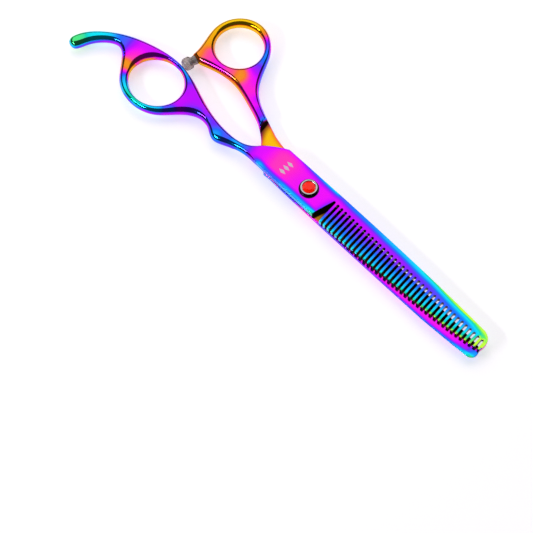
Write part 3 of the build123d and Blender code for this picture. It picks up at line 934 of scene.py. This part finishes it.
def lathe(name, profile, count, axis_frame=None, sharp_degrees=35.0):
    """A turned piece from (radius, height) points that start and end on the axis."""
    bm = bmesh.new()
    rings = [circle(bm, radius, height, count if radius > 0.0 else 1) for radius, height in profile]
    for lower, upper in zip(rings, rings[1:]):
        for turn in range(count):
            after = (turn + 1) % count
            corners = [lower[turn % len(lower)], lower[after % len(lower)]]
            corners += [upper[after % len(upper)], upper[turn % len(upper)]]
            bm.faces.new(list(dict.fromkeys(corners)))
    bmesh.ops.recalc_face_normals(bm, faces=bm.faces)
    return finished(name, bm, axis_frame, sharp_degrees)


def finished(name, bm, axis_frame=None, sharp_degrees=35.0):
    """An object from a bmesh in millimetres, smooth except at its sharp edges."""
    for face in bm.faces:
        face.smooth = True
    for edge in bm.edges:
        if len(edge.link_faces) == 2:
            edge.smooth = edge.calc_face_angle() < math.radians(sharp_degrees)
    mesh = bpy.data.meshes.new(name)
    bm.to_mesh(mesh)
    bm.free()
    if axis_frame is not None:
        mesh.transform(axis_frame)
    mesh.transform(Matrix.Scale(MM, 4))
    return new_object(name, mesh)



def arc(centre, radius, start, end, steps=5):
    """Points on an arc in the (radius, height) plane, angles in degrees."""
    result = []
    for index in range(steps + 1):
        angle = math.radians(start + (end - start) * index / steps)
        result.append((centre[0] + radius * math.cos(angle), centre[1] + radius * math.sin(angle)))
    return result


STONE_INSET = 0.2        # how far the bezel's lip closes over the stone


def make_screw():
    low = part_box("head_washer")[1].z / MM
    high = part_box("pivot_screw")[1].z / MM
    head_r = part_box("pivot_screw")[1].x / MM
    stone_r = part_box("jewel")[1].x / MM - STONE_INSET
    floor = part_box("jewel_foil")[0].z / MM
    profile = [(0.0, 0.2), (1.6, 0.2), (1.75, 0.35), (1.75, 2.2), (2.2, 2.2), (2.2, low)]
    profile += [(head_r - 0.12, low)]
    profile += arc((head_r - 0.1, low + 0.15), 0.1, -60, 20, 4)
    profile += arc((head_r - 0.75, high - 0.7), 0.7, 5, 85, 8)
    profile += [(stone_r + 0.32, high - 0.02), (stone_r + 0.2, high - 0.07), (stone_r + 0.02, high - 0.3),
                (stone_r + 0.01, floor), (0.0, floor)]
    return lathe("pivot_screw_visual", profile, 96)


def make_stone():
    """Brilliant-cut crown with an eight-sided table over a round girdle."""
    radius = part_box("jewel")[1].x / MM - STONE_INSET
    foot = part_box("jewel")[0].z / MM
    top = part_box("jewel")[1].z / MM
    girdle = top - 0.45
    bm = bmesh.new()
    sides = 16
    base = circle(bm, radius - 0.02, foot, sides)
    low = circle(bm, radius - 0.02, girdle - 0.1, sides)
    rim = circle(bm, radius - 0.03, girdle, sides)
    star = circle(bm, radius * 0.78, girdle + 0.27, 8, 0.5)
    table = circle(bm, radius * 0.56, top, 8)
    bm.faces.new(base[::-1])
    for index in range(sides):
        after = (index + 1) % sides
        bm.faces.new((base[index], base[after], low[after], low[index]))
        bm.faces.new((low[index], low[after], rim[after], rim[index]))
    for index in range(8):
        after = (index + 1) % 8
        ahead = (2 * index + 2) % sides
        bm.faces.new((rim[2 * index], rim[2 * index + 1], star[index]))
        bm.faces.new((rim[2 * index + 1], rim[ahead], star[index]))
        bm.faces.new((table[index], star[index], table[after]))
        bm.faces.new((table[index], star[(index - 1) % 8], rim[2 * index], star[index]))
    bm.faces.new(table)
    bmesh.ops.recalc_face_normals(bm, faces=bm.faces)
    return finished("jewel_visual", bm, None, 5.0)


BUMPER_SEAT = (-72.15, 8.65)
BUMPER_AIM = -102.0


def bumper_frame():
    turn = Matrix.Rotation(math.radians(BUMPER_AIM), 4, "Z") @ Matrix.Rotation(math.radians(90), 4, "Y")
    return Matrix.Translation((BUMPER_SEAT[0], BUMPER_SEAT[1], MID)) @ turn


def make_bumper():
    profile = [(0.0, 0.0), (1.85, 0.0), (2.0, 0.12), (1.88, 0.5), (1.8, 1.1), (1.86, 1.6), (2.2, 1.95)]
    profile += arc((2.05, 2.6), 0.55, -60, 0, 4)
    profile += arc((1.1, 4.1), 1.5, 0, 90, 9)
    profile += [(0.0, 5.6)]
    return lathe("bumper_cap_visual", profile, 64, bumper_frame(), 50.0)


def make_nut():
    """Round nut with a chamfered rim and two notches in its back."""
    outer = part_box("tension_nut")[1].x / MM
    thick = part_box("tension_nut")[1].z / MM
    bm = bmesh.new()
    count = 96
    notch_half = 0.55
    notch_start = 2.95
    notch_depth = 0.6
    profile = [
        (1.8, 0.25), (2.05, 0.0), (2.9, 0.0), (3.6, 0.0), (outer - 0.45, 0.0), (outer - 0.2, 0.1),
        (outer, 0.4), (outer, thick - 0.15), (outer - 0.15, thick), (1.8, thick)]
    rings = []
    for radius, height in profile:
        ring = circle(bm, radius, height, count)
        if radius > notch_start and height < notch_depth:
            for vert in ring:
                if abs(vert.co.x) < notch_half:
                    vert.co.z = notch_depth
        rings.append(ring)
    for lower, upper in zip(rings, rings[1:] + rings[:1]):
        for index in range(count):
            after = (index + 1) % count
            bm.faces.new((lower[index], lower[after], upper[after], upper[index]))
    bmesh.ops.recalc_face_normals(bm, faces=bm.faces)
    return finished("tension_nut_visual", bm, None, 30.0)


# ---- Build -------------------------------------------------------------------------
def joined_rims(*regions):
    """Distance from the rims of several regions taken together."""
    starts, ends = zip(*(region.rims() for region in regions))
    return Distance(np.concatenate(starts), np.concatenate(ends))


def make_half(half, handle_node, blade_node, handle_height, blade_height, side):
    """The sculpted handle and blade of one half, side 1 being the thumb's."""
    handle = Region(section_loops(handle_node, handle_height), HANDLE_STEP, 60.0, 6)
    blade = Region(section_loops(blade_node, blade_height), BLADE_STEP, 25.0, 0)
    rim = joined_rims(handle, blade)
    handle_piece = slab(handle_node + "_visual", handle, rim, half, INNER_STEP)
    blade_piece = slab(blade_node + "_visual", blade, rim, half, INNER_STEP, shoulder_rows(side))
    return handle_piece, blade_piece


def place(piece, body, node, slot, material):
    piece.data.materials.clear()
    piece.data.materials.append(material)
    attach(piece, body)
    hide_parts(node)


steel = rainbow_steel()
finger, comb = make_half(CombHalf(), "finger_handle", "comb_blade", FINGER_CUT, COMB_CUT, -1)
thumb, straight = make_half(StraightHalf(), "thumb_handle", "straight_blade", THUMB_CUT, STRAIGHT_CUT, 1)
place(finger, "comb_half", "finger_handle", "rainbow_steel", steel)
place(comb, "comb_half", "comb_blade", "rainbow_steel", steel)
place(thumb, "straight_half", "thumb_handle", "rainbow_steel", steel)
place(straight, "straight_half", "straight_blade", "rainbow_steel", steel)
place(make_screw(), "comb_half", "pivot_screw", "bezel_chrome", bezel_chrome())
place(make_stone(), "comb_half", "jewel", "red_stone", red_stone())
place(make_bumper(), "straight_half", "bumper_cap", "bumper_polymer", bumper_polymer())
nut_chrome = plain_metal("nut_chrome", (0.72, 0.72, 0.72), 0.16)
place(make_nut(), "tension_nut", "tension_nut", "nut_chrome", nut_chrome)

CARRIED = {
    "jewel_foil": plain_metal("stone_foil", (0.88, 0.86, 0.84), 0.05, 800.0),
    "head_washer": plastic("black_nylon", (0.025, 0.025, 0.025), 0.5),
    "blade_washer": plastic("white_nylon", (0.80, 0.80, 0.76), 0.45),
    "pivot_bushing": plain_metal("bronze", (0.60, 0.38, 0.16), 0.28, 900.0, (1.0, 1.0, 8.0)),
    "keyed_washer": plain_metal("spring_steel", (0.42, 0.42, 0.44), 0.3),
    "bumper_stud": plain_metal("stud_steel", (0.46, 0.46, 0.46), 0.3),
}
CARRIED["spring_washer"] = CARRIED["keyed_washer"]
CARRIED["nut_lock_ring"] = CARRIED["blade_washer"]
for node, material in CARRIED.items():
    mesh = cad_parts[node].data
    mesh.materials.clear()
    mesh.materials.append(material)


# ---- Stage -------------------------------------------------------------------------
AIM = (0.0133, -0.0346, 0.0081)
CAMERA_AZIMUTH = 46.5
CAMERA_ELEVATION = 63.5
CAMERA_DISTANCE = 0.922
LENS = 168.4
SENSOR = 36.0
AZIMUTH = math.radians(CAMERA_AZIMUTH)
RIGHT = Vector((math.cos(AZIMUTH), math.sin(AZIMUTH), 0.0))
FORWARD = Vector((-math.sin(AZIMUTH), math.cos(AZIMUTH), 0.0))
UP = Vector((0.0, 0.0, 1.0))
OVERHEAD_PLACE = FORWARD * 1.25 + UP * 0.9
STRIP_PLACE = RIGHT * -0.75 - FORWARD * 0.35 + UP * 0.6
STRIP_TURN = (0, -50, CAMERA_AZIMUTH + 25)


def make_floor():
    size = 3.0
    mesh = bpy.data.meshes.new("floor")
    corners = [(-size, -size, 0), (size, -size, 0), (size, size, 0), (-size, size, 0)]
    mesh.from_pydata(corners, [], [(0, 1, 2, 3)])
    floor = new_object("floor", mesh)
    material, tree, shader = new_material("floor_white")
    shader.inputs["Base Color"].default_value = (0.84, 0.82, 0.85, 1.0)
    shader.inputs["Roughness"].default_value = 0.25
    shader.inputs["Specular IOR Level"].default_value = 0.35
    shader.inputs["Emission Color"].default_value = (1.0, 0.98, 1.0, 1.0)
    shader.inputs["Emission Strength"].default_value = 0.55
    mesh.materials.append(material)


def area_light(name, position, turn, size, radiance):
    """A rectangular softbox of a given brightness, turned by Euler angles in degrees."""
    data = bpy.data.lights.new(name, "AREA")
    data.shape = "RECTANGLE"
    data.size, data.size_y = size
    data.energy = radiance * math.pi * size[0] * size[1]
    light = new_object(name, data)
    light.location = position
    light.rotation_euler = [math.radians(angle) for angle in turn]


def make_camera():
    data = bpy.data.cameras.new("camera")
    data.sensor_width = SENSOR
    data.lens = LENS
    camera = new_object("camera", data)
    elevation = math.radians(CAMERA_ELEVATION)
    level = math.cos(elevation)
    away = Vector((math.sin(AZIMUTH) * level, -math.cos(AZIMUTH) * level, math.sin(elevation)))
    camera.location = Vector(AIM) + away * CAMERA_DISTANCE
    camera.rotation_euler = (-away).to_track_quat("-Z", "Y").to_euler()
    bpy.context.scene.camera = camera


def make_world():
    world = bpy.data.worlds.new("studio")
    world.use_nodes = True
    background = world.node_tree.nodes["Background"]
    background.inputs["Color"].default_value = (0.9, 0.92, 1.0, 1.0)
    background.inputs["Strength"].default_value = 0.08
    bpy.context.scene.world = world


make_floor()
make_world()
make_camera()
area_light("overhead", OVERHEAD_PLACE, (0, 0, CAMERA_AZIMUTH), (2.6, 2.3), 1.05)
area_light("side_strip", STRIP_PLACE, STRIP_TURN, (0.08, 0.5), 24.0)
bpy.context.scene.view_settings.view_transform = "Standard"
